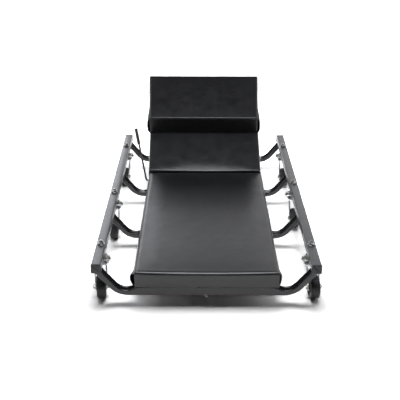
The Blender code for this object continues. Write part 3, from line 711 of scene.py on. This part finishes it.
# --------------------------------------------------------------------- rails
for side, x in (("left", -RAIL_X), ("right", RAIL_X)):
    zc = RAIL_TOP - TUBE / 2.0
    h = TUBE / 2.0
    outer = rounded_rect(-h, h, -h, h, 2.8)
    inner = rounded_rect(-h + 1.6, h - 1.6, -h + 1.6, h - 1.6, 1.3)
    p = Piece()
    ys = [4.3, 4.9] + [4.9 + 990.2 * k / 24 for k in range(1, 24)] + [995.1, 995.7]

    def ring_at(loop, y, grow=0.0):
        return [(x + a, y, zc + b) for a, b in offset(loop, grow)]

    rings = [ring_at(outer, ys[0], -0.5)] + [ring_at(outer, y) for y in ys[1:-1]] + [ring_at(outer, ys[-1], -0.5)]
    rings += [ring_at(inner, 995.7), ring_at(inner, 4.3)]
    p.loft(rings, loop=True)
    p.done("rail_tube_" + side, [GRAPHITE], "frame", ["rail_" + side])
    for end, y_face, inward in (("foot", 0.0, 1.0), ("head", 1000.0, -1.0)):
        p = Piece()
        flange = rounded_rect(-13.7, 13.7, -13.7, 13.7, 3.4)
        stem = rounded_rect(-10.8, 10.8, -10.8, 10.8, 1.2)

        def layer(loop, d, grow=0.0):
            return [(x + a, y_face + inward * d, zc + b) for a, b in offset(loop, grow)]

        p.loft([
            layer(flange, 0.0, -5.0), layer(flange, 0.15, -2.4), layer(flange, 0.55, -1.1), layer(flange, 1.2, -0.3),
            layer(flange, 2.0), layer(flange, 3.7), layer(flange, 4.0, -0.3), layer(stem, 4.0),
            layer(stem, 6.0), layer(stem, 6.5, -0.6), layer(stem, 8.5, -0.6), layer(stem, 9.0),
            layer(stem, 11.0), layer(stem, 11.5, -0.6), layer(stem, 13.5, -0.6), layer(stem, 18.0, -1.6),
        ])
        p.done("rail_cap_%s_%s" % (end, side), [PLUG], "frame", ["rail_plug_%s_%s" % (end, side)], 50.0)


# ------------------------------------------------------------- cross-members
CM_S = [0.0, 180.0, 186.0, 192.0, 199.0, 208.0, 217.0, 230.0, 245.0, 262.0, 330.0]
CM_H = [25.4, 25.4, 23.6, 20.4, 17.4, 15.2, 14.5, 14.4, 15.1, 16.0, 16.0]
CM_G = [0.0, 0.8, 3.0, 5.5, 7.5, 8.6, 9.0, 9.0, 8.6, 8.2, 7.8]


def eased(s, xs, ys):
    """Interpolate with a short moving average, so that the wall flows."""
    return sum(np.interp(s + d, xs, ys) for d in (-3.0, -1.5, 0.0, 1.5, 3.0)) / 5.0


def cm_ring(h, g, bulge):
    w, r, rt = TUBE / 2.0, 2.6, 2.4
    out = []
    for cx, cz, a0, rr in ((w - r, r, 270.0, r),):
        for k in range(5):
            a = math.radians(a0 + 90.0 * k / 4)
            out.append((cx + rr * math.cos(a), cz + rr * math.sin(a)))
    out.append((w + bulge, h * 0.5))
    for k in range(5):
        a = math.radians(90.0 * k / 4)
        out.append((w - rt + rt * math.cos(a), h - rt + rt * math.sin(a)))
    span = w - rt
    for k in range(1, 12):
        a = span - 2 * span * k / 12
        out.append((a, h - g * 0.5 * (1.0 + math.cos(math.pi * a / span))))
    for k in range(5):
        a = math.radians(90.0 + 90.0 * k / 4)
        out.append((-w + rt + rt * math.cos(a), h - rt + rt * math.sin(a)))
    out.append((-w - bulge, h * 0.5))
    for k in range(5):
        a = math.radians(180.0 + 90.0 * k / 4)
        out.append((-w + r + r * math.cos(a), r + r * math.sin(a)))
    return out


def cm_rings(y):
    arc = CM_BEND_R * CM_BEND_ANGLE
    stations = [0.0, 60.0, 120.0, 160.0, 176.0] + [180.0 + 2.2 * k for k in range(12)] + [CM_BEND_X + arc * k / 22 for k in range(23)]
    rings = []
    for s in stations:
        if s <= CM_BEND_X:
            x, z, t = s, CM_BOTTOM, 0.0
        else:
            t = (s - CM_BEND_X) / CM_BEND_R
            x, z = CM_BEND_X + CM_BEND_R * math.sin(t), CM_BOTTOM + CM_BEND_R * (1 - math.cos(t))
        h, g = eased(s, CM_S, CM_H), eased(s, CM_S, CM_G)
        ring = []
        for a, n in cm_ring(h, g, 0.9 * min(g / 5.0, 1.0)):
            ring.append((x - math.sin(t) * n, y + a, z + math.cos(t) * n))
        rings.append(ring)
    last, t = rings[-1], CM_BEND_ANGLE
    for f in (0.35, 0.7, 1.0):
        rings.append([
            (px + math.cos(t) * (CM_END_Z - pz) * f / math.sin(t), py, pz + (CM_END_Z - pz) * f)
            for px, py, pz in last
        ])
    return rings


for i, y in enumerate(CM_Y):
    half = cm_rings(y)
    mirror = [[(-px, py, pz) for px, py, pz in ring] for ring in reversed(half[1:])]
    p = Piece()
    p.loft(mirror + half)
    # weld beads under the rails
    for s in (-1.0, 1.0):
        end = half[-1]
        n = len(end)
        cx = sum(q[0] for q in end) / n
        path = []
        for k in range(n * 3):
            a, b, f = end[(k // 3) % n], end[(k // 3 + 1) % n], (k % 3) / 3.0
            path.append(Vector((s * (a[0] + (b[0] - a[0]) * f), a[1] + (b[1] - a[1]) * f, CM_END_Z - 0.9)))
        rings = []
        m = len(path)
        for k in range(m):
            t = (path[(k + 1) % m] - path[k - 1]).normalized()
            out = Vector((0, 0, 1)).cross(t).normalized()
            r = 1.7 + 0.35 * math.sin(k * 1.9) + 0.2 * math.sin(k * 0.7 + i)
            rings.append([path[k] + (out * math.cos(a) + Vector((0, 0, 1)) * math.sin(a)) * r for a in (2 * math.pi * j / 8 for j in range(8))])
        p.loft(rings, loop=True)
    p.done("bent_cross_member_%d" % (i + 1), [BLACK], "frame", ["cross_member_%d" % (i + 1)], 50.0)


# ---------------------------------------------------------- bolts and screws
def deck_bolt(p, x, y):
    p.hexes([(CM_BOTTOM - 5.6, 5.0), (CM_BOTTOM - 5.1, None), (CM_BOTTOM - 1.9, None)], 10.0, at=(x, y, 0))
    p.lathe([(5.2, CM_BOTTOM - 5.2), (5.7, CM_BOTTOM - 5.9), (5.8, CM_BOTTOM - 7.6), (5.3, CM_BOTTOM - 9.2), (4.1, CM_BOTTOM - 10.3), (2.2, CM_BOTTOM - 10.8), (0.3, CM_BOTTOM - 10.95)], 36, at=(x, y, 0))
    p.lathe([(7.2, CM_BOTTOM - 1.9), (7.5, CM_BOTTOM - 1.6), (7.5, CM_BOTTOM - 0.5), (7.2, CM_BOTTOM - 0.3)], 36, at=(x, y, 0))
    p.lathe([(3.0, CM_BOTTOM - 0.4), (3.0, DECK_BOTTOM + 8.0), (2.3, DECK_BOTTOM + 9.0)], 16, at=(x, y, 0))


p = Piece()
deck_bolt(p, 0.0, CM_Y[0])
p.done("deck_bolt_middle", [ZINC_CLEAR], "frame", ["deck_bolt_front"])
p = Piece()
for y in CM_Y[:3]:
    for x in (-135.0, 135.0):
        p.hexes([(CM_BOTTOM - 5.6, 5.0), (CM_BOTTOM - 5.1, None), (CM_BOTTOM - 1.7, None)], 10.0, at=(x, y, 0))
        p.lathe([(7.2, CM_BOTTOM - 1.9), (7.5, CM_BOTTOM - 1.6), (7.5, CM_BOTTOM - 0.5), (7.2, CM_BOTTOM - 0.2)], 36, at=(x, y, 0))
p.done("deck_bolts", [ZINC], "frame", ())

for name, body, local, ys in (
    ("hinge_screws_deck", "frame", Matrix.Identity(4), 679.0),
    ("hinge_screws_head", "head_section", HEAD, 19.5),
):
    p = Piece(local)
    top = (HEAD_B0 if body == "head_section" else DECK_BOTTOM) - 2.3
    for k in range(8):
        x = -157.5 + 45.0 * k
        p.lathe([(1.2, top - 1.55), (2.2, top - 1.5), (3.2, top - 1.0), (3.6, top - 0.3), (3.6, top + 0.4)], 20, at=(x, ys, 0))
    p.done(name, [ZINC], body, ())


# staples that hold the covers to the boards
def staples(name, body, local, x_half, y0, y1, z, skip):
    p = Piece(local)

    def staple(x, y, along_x):
        if any(a < y < b for a, b in skip):
            return
        dx, dy = (5.0, 0.5) if along_x else (0.5, 5.0)
        p.loft([
            [(x - dx, y - dy, z), (x + dx, y - dy, z), (x + dx, y + dy, z), (x - dx, y + dy, z)],
            [(x - dx, y - dy, z - 0.5), (x + dx, y - dy, z - 0.5), (x + dx, y + dy, z - 0.5), (x - dx, y + dy, z - 0.5)],
        ])

    nx, ny = int(2 * x_half / 32), int((y1 - y0) / 32)
    for k in range(nx + 1):
        x = -x_half + 2 * x_half * k / nx
        for y in (y0, y1):
            staple(x, y, True)
    for k in range(1, ny):
        y = y0 + (y1 - y0) * k / ny
        for x in (-x_half, x_half):
            staple(x, y, False)
    return p.done(name, [BRIGHT], body, ())


def cover_hem(name, body, local, x_half, y0, y1, z):
    """The cover's turned-in edge, stapled flat under the board."""
    p = Piece(local)
    outer = rounded_rect(-x_half, x_half, y0, y1, 9.0)
    inner = list(reversed(rounded_rect(-x_half + 26.0, x_half - 26.0, y0 + 26.0, y1 - 26.0, 14.0, 10)))
    inner = [(x + 1.6 * math.sin(0.31 * y + 0.2 * x), y + 1.6 * math.sin(0.27 * x)) for x, y in subdivided(inner, 14.0)]
    p.prism([outer, inner], lambda x, y, zz: (x, y, zz), z - 0.2, z)
    return p.done(name, [VINYL], body, ())


def subdivided(loop, step):
    out = []
    for a, b in zip(loop, loop[1:] + loop[:1]):
        n = max(int(math.hypot(b[0] - a[0], b[1] - a[1]) / step), 1)
        out += [(a[0] + (b[0] - a[0]) * k / n, a[1] + (b[1] - a[1]) * k / n) for k in range(n)]
    return out


# ------------------------------------------------------ prop bail and lever
LEVER_ANGLE = math.radians(59.5)
PROP_ANGLE = math.radians(47.7)
arm = (100.0 * math.cos(PROP_ANGLE), 100.0 * math.sin(PROP_ANGLE))
tip = Vector((-247.0, 187.0 * math.cos(LEVER_ANGLE), 187.0 * math.sin(LEVER_ANGLE)))
foot = Vector((-207.0, 0.0, 0.0))
along = (tip - foot).normalized()
p = Piece(PROP)
p.sweep(fillet_path([
    tip - along * 4.6, foot, (-150.0, 0.0, 0.0), (-150.0, *arm), (150.0, *arm), (150.0, 0.0, 0.0), (175.5, 0.0, 0.0),
], 8.5, 10), 3.2, 16)
for x in (-161.5, 161.5, 171.8):
    p.ring([(3.1, x - 0.8), (6.2, x - 0.8), (6.5, x - 0.5), (6.5, x + 0.5), (6.2, x + 0.8), (3.1, x + 0.8)], 28, axis="x")
p.done("prop_rod", [BLACK_STEEL], "prop", ["prop_bail"], 40.0)

p = Piece(PROP)
rings = []
u = along.orthogonal().normalized()
v = along.cross(u)
profile = [(54.0, 3.3), (0.0, 3.3), (0.0, 4.6), (0.6, 5.0)]
for k in range(13):
    s = 2.2 + 4.0 * k
    profile += [(s, 5.15), (s + 0.8, 5.45), (s + 2.2, 5.45), (s + 3.0, 5.15)]
profile += [(54.6, 5.0), (56.0, 4.6), (57.2, 3.6), (57.8, 2.2), (58.0, 0.8)]
for s, r in profile:
    c = tip - along * (58.0 - s)
    rings.append([c + u * a + v * b for a, b in circle(r, 24)])
p.loft(rings)
p.done("lever_sleeve", [GRIP], "prop", ["lever_grip"], 40.0)


# ------------------------------------------------------------------- casters
def threads(r, z0, z1, pitch=1.25):
    out = []
    z = z0
    while z < z1 - pitch:
        out += [(r - 0.45, z), (r, z + pitch * 0.5)]
        z += pitch
    return out + [(r - 0.45, z), (r - 0.9, z1)]


def nut(p, z0, z1, af, at, axis="z"):
    p.hexes([(z0, af / 2 * 1.03), (z0 + 0.6 * (1 if z1 > z0 else -1), None), (z1 - 0.6 * (1 if z1 > z0 else -1), None), (z1, af / 2 * 1.02)], af, at=at, axis=axis)


def caster(name, sy, side, yaw):
    base = Matrix.Translation((side * SWIVEL_X, sy, 0.0))
    swivel = base @ Matrix.Rotation(math.radians(yaw), 4, "Z")
    ax, ay = side * (RAIL_X - SWIVEL_X), RAIL_BOLT_DY
    bx, by = side * (EAR_X - SWIVEL_X), EAR_DY
    key = "caster_" + name

    # mounting plate with its upper race
    p = Piece(base)
    outline = hull(circle(9.5, 60, cx=ax, cy=ay) + circle(8.5, 60, cx=bx, cy=by) + circle(15.0, 72))
    holes = [list(reversed(circle(4.4, 24, cx=ax, cy=ay))), list(reversed(circle(3.4, 24, cx=bx, cy=by)))]
    p.prism([outline] + holes, lambda x, y, z: (x, y, z), PLATE_TOP - 3.0, PLATE_TOP, 0.5)
    p.lathe([(8.0, 98.6), (13.2, 98.5), (15.4, 97.9), (16.6, 96.6), (16.9, 94.6), (16.4, 93.2), (15.2, 92.5), (9.0, 92.4)], 48)
    p.done(key + "_top_plate", [BRIGHT], "frame", [key + "_plate"])

    # bolt through the rail
    p = Piece(base @ Matrix.Translation((ax, ay, 0)))
    p.lathe([(3.0, 93.9), (4.6, 94.0), (5.8, 94.7), (6.4, 95.8), (6.5, 97.8), (6.4, 98.1)], 32)
    p.lathe([(4.0, 97.5), (4.0, RAIL_TOP + 1.0)], 20)
    p.ring([(4.2, RAIL_TOP + 0.1), (10.2, RAIL_TOP + 0.1), (10.5, RAIL_TOP + 0.4), (10.5, RAIL_TOP + 1.5), (10.2, RAIL_TOP + 1.8), (4.2, RAIL_TOP + 1.8)], 48)
    nut(p, RAIL_TOP + 1.8, RAIL_TOP + 8.0, 15.0, (0, 0, 0))
    p.lathe([(6.6, RAIL_TOP + 8.0), (6.2, RAIL_TOP + 9.0), (5.0, RAIL_TOP + 9.3), (4.2, RAIL_TOP + 8.6)], 32)
    p.lathe([(3.9, RAIL_TOP + 1.0)] + threads(4.0, RAIL_TOP + 7.0, RAIL_TOP + 12.0), 20)
    p.done(key + "_rail_nut", [ZINC_CLEAR], "frame", [key + "_rail_bolt"])

    # bolt on the inner ear
    p = Piece(base @ Matrix.Translation((bx, by, 0)))
    p.lathe([(3.0, 94.6), (4.2, 94.8), (4.7, 95.6), (4.7, 97.9), (4.5, 98.1)], 28)
    p.ring([(3.2, PLATE_TOP + 0.05), (7.6, PLATE_TOP + 0.05), (7.8, PLATE_TOP + 0.3), (7.8, PLATE_TOP + 1.0), (3.2, PLATE_TOP + 1.2)], 40)
    nut(p, PLATE_TOP + 1.2, PLATE_TOP + 6.4, 13.0, (0, 0, 0))
    p.lathe([(2.9, 97.9), (2.9, PLATE_TOP + 5.0)] + threads(3.0, PLATE_TOP + 5.2, PLATE_TOP + 9.6, 1.0), 18)
    p.done(key + "_ear_nut", [ZINC], "frame", [key + "_ear_bolt"])

    # fork: pressed crown, two legs, kingpin rivet
    leg = [(-20.0, 82.0), (-47.6, 35.0)]
    for k in range(17):
        a = math.radians(-190.0 + 160.0 * k / 16)
        leg.append((-TRAIL + 9.8 * math.cos(a), WHEEL_R + 9.8 * math.sin(a)))
    leg += [(4.5, 71.5), (12.0, 79.0), (15.5, 83.5), (16.0, 88.5), (-20.0, 88.5)]
    hole = list(reversed(circle(4.4, 20, cx=-TRAIL, cy=WHEEL_R)))
    p = Piece(swivel)
    for x0, x1 in ((-16.2, -13.7), (13.7, 16.2)):
        p.prism([leg, hole], lambda a, b, z: (z, a, b), x0, x1, 0.45)
        # pressed rib on the outside of each leg
        s = 1.0 if x0 > 0 else -1.0
        x_out = s * 16.2
        rib = [(-12.5, 80.0), (-37.0, 43.0), (-33.0, 41.0), (-6.5, 78.0)]
        p.prism([rib], lambda a, b, z: (x_out + s * z, a, b), -0.3, 0.9, 0.4)
    p.loft([
        [(x, y, z) for x, y in rounded_rect(-16.2 + i, 16.2 - i, -20.0 + i, 16.0 - i, 3.0, 5)]
        for z, i in ((86.0, 0.5), (86.6, 0.0), (88.2, 0.0), (89.2, 0.8))
    ])
    p.lathe([(17.0, 86.4), (21.6, 86.6), (22.9, 87.4), (23.2, 88.6), (22.8, 89.8), (21.2, 90.6), (18.4, 91.2), (17.6, 91.9), (9.0, 92.0)], 56)
    p.lathe([(2.5, 81.6), (4.6, 81.9), (6.2, 83.2), (6.9, 85.0), (7.0, 86.4)], 32)
    p.lathe([(4.9, 91.6), (4.9, 99.6), (6.6, 99.8), (6.6, 100.7), (6.0, 100.9)], 28)
    p.done(key + "_swivel_fork", [BRIGHT], key + "_swivel", [key + "_fork"])

    # wheel: moulded hub and tread, turned
    tread = [(22.6, 11.4), (23.4, 12.2), (25.0, 12.6), (28.2, 12.5), (30.2, 11.6), (31.3, 9.9), (31.7, 7.6), (WHEEL_R, 4.0)]
    hub = [(4.4, 13.1), (7.6, 13.1), (8.6, 12.8), (9.1, 12.0), (9.6, 10.4), (11.0, 9.6), (19.6, 9.4), (21.2, 9.9), (22.2, 10.9), (23.0, 11.6)]
    centre = swivel @ Matrix.Translation((0.0, -TRAIL, WHEEL_R))
    p = Piece(centre)
    p.ring([(r, x) for r, x in hub] + [(r, -x) for r, x in reversed(hub)], 64, axis="x")
    p.slot = 1
    p.ring([(21.8, 11.0)] + tread + [(r, -x) for r, x in reversed(tread)] + [(21.8, -11.0)], 80, axis="x")
    p.slot = 0
    for s in (-1.0, 1.0):
        for k in range(6):
            a = 2 * math.pi * (k + 0.5) / 6
            c, n = Vector((0, math.cos(a), math.sin(a))), Vector((0, -math.sin(a), math.cos(a)))
            base_x = 9.2 * s
            rings = []
            for x, w, r0, r1 in ((base_x, 1.5, 9.6, 22.0), (base_x + 2.2 * s, 1.1, 9.2, 21.6)):
                rings.append([
                    Vector((x, 0, 0)) + c * r0 - n * w, Vector((x, 0, 0)) + c * r1 - n * w,
                    Vector((x, 0, 0)) + c * r1 + n * w, Vector((x, 0, 0)) + c * r0 + n * w,
                ])
            p.loft(rings)
    p.done(key + "_roller", [HUB, TREAD], key + "_wheel", [key + "_wheel"])

    # axle bolt: head inboard, nut outboard
    p = Piece(centre)
    p.lathe([(4.0, -17.0 * side), (4.0, 17.0 * side)], 24, axis="x")
    p.hexes([(-16.4 * side, 6.3), (-16.9 * side, None), (-20.8 * side, None), (-21.5 * side, 6.2)], 12.5, axis="x")
    p.hexes([(16.4 * side, 6.3), (17.0 * side, None), (20.6 * side, None), (21.2 * side, 6.3)], 12.5, axis="x")
    p.lathe([(5.6, 21.0 * side), (5.2, 22.0 * side), (4.2, 22.2 * side), (3.6, 21.4 * side)], 28, axis="x")
    p.lathe([(3.8, 20.0 * side), (3.8, 22.6 * side), (3.0, 23.4 * side)], 20, axis="x")
    p.done(key + "_axle_bolt", [ZINC], key + "_swivel", [key + "_axle"])


for name, (sy, side, yaw) in CASTERS.items():
    caster(name, sy, side, yaw)


# -------------------------------------------------- CAD nodes that stay shown
cover_hem("deck_cover_hem", "frame", Matrix.Identity(4), 186.0, 6.5, 682.0, DECK_BOTTOM - 0.02)
cover_hem("head_cover_hem", "head_section", HEAD, 186.0, 32.0, 374.0, HEAD_B0 - 0.02)
staples("deck_staples", "frame", Matrix.Identity(4), 172.0, 38.0, 632.0, DECK_BOTTOM - 0.2, ((322.0, 363.0), (634.0, 674.0)))
staples("head_staples", "head_section", HEAD, 172.0, 46.0, 360.0, HEAD_B0 - 0.2, ((255.0, 300.0),))

for node, mat in (
    ("deck_board", PLY_PAINTED_SHADE), ("head_board", PLY_PAINTED_SHADE),
    ("hinge_leaf_deck", BLACK_STEEL), ("hinge_leaf_head", BLACK_STEEL), ("hinge_pin", ZINC),
    ("prop_bracket_left", BLACK_STEEL), ("prop_bracket_right", BLACK_STEEL), ("prop_wear_plate", BLACK_STEEL),
):
    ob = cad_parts[node]
    if not ob.material_slots:
        ob.data.materials.append(mat)
    for s in ob.material_slots:
        s.material = mat
    # flat sheets and boards: no shading carried over from the bolt holes
    normals = ob.data.attributes.get("custom_normal")
    if normals:
        ob.data.attributes.remove(normals)
    ob.data.shade_smooth()
    ob.data.set_sharp_from_angle(angle=math.radians(25.0))


# --------------------------------------------------------- floor, light, camera
SKY = ((0.0, 0.1), (0.2, 0.15), (0.29, 1.2), (0.46, 1.1), (0.66, 0.12), (1.0, 0.02))


def studio():
    me = bpy.data.meshes.new("floor")
    me.from_pydata([(-30, -30, 0), (30, -30, 0), (30, 30, 0), (-30, 30, 0)], [], [(0, 1, 2, 3)])
    floor = bpy.data.objects.new("floor", me)
    m = Mat("studio_floor", Roughness=0.6)
    m.to("Base Color", m.mix(m.range(m.noise(2.0), 0.0, 1.0), (1.9, 1.9, 1.9), (2.0, 2.0, 2.0)))
    me.materials.append(m.mat)
    bpy.context.scene.collection.objects.link(floor)

    # a grey backdrop all round, far behind the floor lights
    me = bpy.data.meshes.new("backdrop")
    ring = [(29.0 * math.cos(2 * math.pi * k / 64), 29.0 * math.sin(2 * math.pi * k / 64)) for k in range(64)]
    me.from_pydata([(x, y, z) for z in (-0.5, 24.0) for x, y in ring], [],
                   [(k, (k + 1) % 64, 64 + (k + 1) % 64, 64 + k) for k in range(64)])
    backdrop = bpy.data.objects.new("backdrop", me)
    m = Mat("backdrop_grey", Roughness=1.0)
    m.to("Base Color", m.mix(m.range(m.noise(1.0), 0.0, 1.0), (0.30, 0.30, 0.30), (0.32, 0.32, 0.32)))
    m.to("Emission Color", m.mix(m.range(m.noise(1.0), 0.0, 1.0), (0.235, 0.235, 0.235), (0.25, 0.25, 0.25)))
    m.bsdf.inputs["Emission Strength"].default_value = 1.0
    me.materials.append(m.mat)
    bpy.context.scene.collection.objects.link(backdrop)
    backdrop.visible_diffuse = backdrop.visible_glossy = backdrop.visible_shadow = False

    world = bpy.data.worlds.new("studio")
    bpy.context.scene.world = world
    world.use_nodes = True
    nt = world.node_tree
    bg = nt.nodes["Background"]
    # bright sweep near the horizon, dark ceiling
    split = nt.nodes.new("ShaderNodeSeparateXYZ")
    nt.links.new(nt.nodes.new("ShaderNodeTexCoord").outputs["Generated"], split.inputs[0])
    front = nt.nodes.new("ShaderNodeMapRange")
    front.interpolation_type = "SMOOTHSTEP"
    for k, v in (("From Min", 0.0), ("From Max", 0.45), ("To Min", 0.025), ("To Max", 1.0)):
        front.inputs[k].default_value = v
    nt.links.new(split.outputs["Y"], front.inputs["Value"])
    nt.links.new(front.outputs["Result"], bg.inputs["Strength"])
    ramp = nt.nodes.new("ShaderNodeValToRGB")
    e = ramp.color_ramp.elements
    while len(e) < len(SKY):
        e.new(0.5)
    for el, (pos, c) in zip(e, SKY):
        el.position = pos
        el.color = (c, c, c * 1.02, 1.0)
    nt.links.new(split.outputs["Z"], ramp.inputs["Fac"])
    nt.links.new(ramp.outputs["Color"], bg.inputs["Color"])

    def softbox(name, loc, target, size, power, color=(1, 1, 1)):
        light = bpy.data.lights.new(name, "AREA")
        light.shape = "RECTANGLE"
        light.size, light.size_y = size
        light.energy = power
        light.color = color
        ob = bpy.data.objects.new(name, light)
        ob.location = loc
        ob.rotation_euler = (Vector(target) - Vector(loc)).to_track_quat("-Z", "Y").to_euler()
        bpy.context.scene.collection.objects.link(ob)
        return ob

    key = softbox("front_key", (0.0, -0.95, 2.23), (0, 0.1, 0.1), (1.9, 0.6), 52.0, (0.97, 0.985, 1.03))
    softbox("left", (-2.0, 1.3, 2.0), (0, 1.3, 0), (0.9, 3.0), 13.0)
    softbox("right", (2.0, 1.3, 2.0), (0, 1.3, 0), (0.9, 3.0), 11.0)
    softbox("back_left", (-1.25, 3.9, 1.85), (-0.15, 0.1, 0.1), (1.2, 1.9), 15.0, (0.95, 0.98, 1.06))
    softbox("back_right", (1.2, 4.0, 1.55), (0.15, 0.1, 0.1), (1.0, 0.8), 1.5)
    sweep = softbox("sweep", (0.0, 5.2, 3.0), (0, 5.2, 0), (6.0, 3.4), 85.0)
    sweep.visible_glossy = False
    overhead = softbox("floor_fill", (0.0, 0.06, 2.6), (0, 0.06, 0), (1.3, 1.15), 42.0)
    # the key light is flagged off the floor, and the overhead light falls on the floor only
    for light, state in ((key, "EXCLUDE"), (overhead, "INCLUDE")):
        flag = bpy.data.collections.new("receivers_" + light.name)
        flag.objects.link(floor)
        flag.collection_objects[0].light_linking.link_state = state
        light.light_linking.receiver_collection = flag

    cam = bpy.data.cameras.new("camera")
    cam.sensor_fit = "HORIZONTAL"
    cam.sensor_width = 36.0
    cam.lens = 36.0 * 741.585 / 400.0
    cam.clip_end = 100.0
    ob = bpy.data.objects.new("camera", cam)
    ob.matrix_world = (
        Matrix.Translation((-0.01838, (-1677.95 + Y_SHIFT) / 1000.0, 1.08617))
        @ Matrix.Rotation(math.radians(-0.0398), 4, "Z")
        @ Matrix.Rotation(math.radians(90.0 - 24.714), 4, "X")
        @ Matrix.Rotation(math.radians(0.1822), 4, "Z")
    )
    bpy.context.scene.collection.objects.link(ob)
    bpy.context.scene.camera = ob
    bpy.context.scene.view_settings.view_transform = "Standard"


studio()
